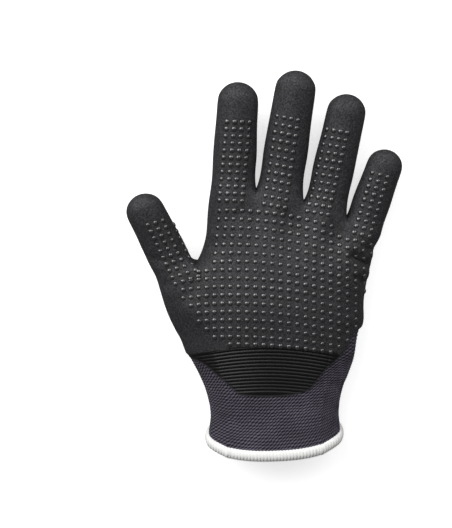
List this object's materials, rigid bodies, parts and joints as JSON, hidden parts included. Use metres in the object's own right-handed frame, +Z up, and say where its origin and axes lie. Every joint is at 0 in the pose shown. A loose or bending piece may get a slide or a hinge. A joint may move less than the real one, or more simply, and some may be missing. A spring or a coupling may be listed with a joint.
{
  "type": "grip glove",
  "caption": "Knitted work glove for the left hand with a black foam palm coating, a ribbed wrist panel and a white overlocked hem, lying on its back.",
  "frame": {"origin": "centre of the outline on the ground, under the resting back of the hand", "axes": "+Z up out of the palm, +Y from the hem to the fingertips, -X towards the thumb"},
  "size_m": [0.173, 0.2496, 0.0425],
  "materials": {
    "hand_knit": "fine knit, matt",
    "cuff_knit": "coarser elastic knit, matt",
    "hem_thread": "overlocked thread, matt",
    "foam_coating": "foamed, matt with fine grain",
    "ribbed_coating": "dipped ribs, slightly glossy"
  },
  "bodies": {
    "root": {"knit_hand": "hand_knit", "knit_cuff": "cuff_knit", "cuff_hem": "hem_thread", "palm_coating": "foam_coating", "wrist_ribs": "ribbed_coating"}
  },
  "joints": []
}
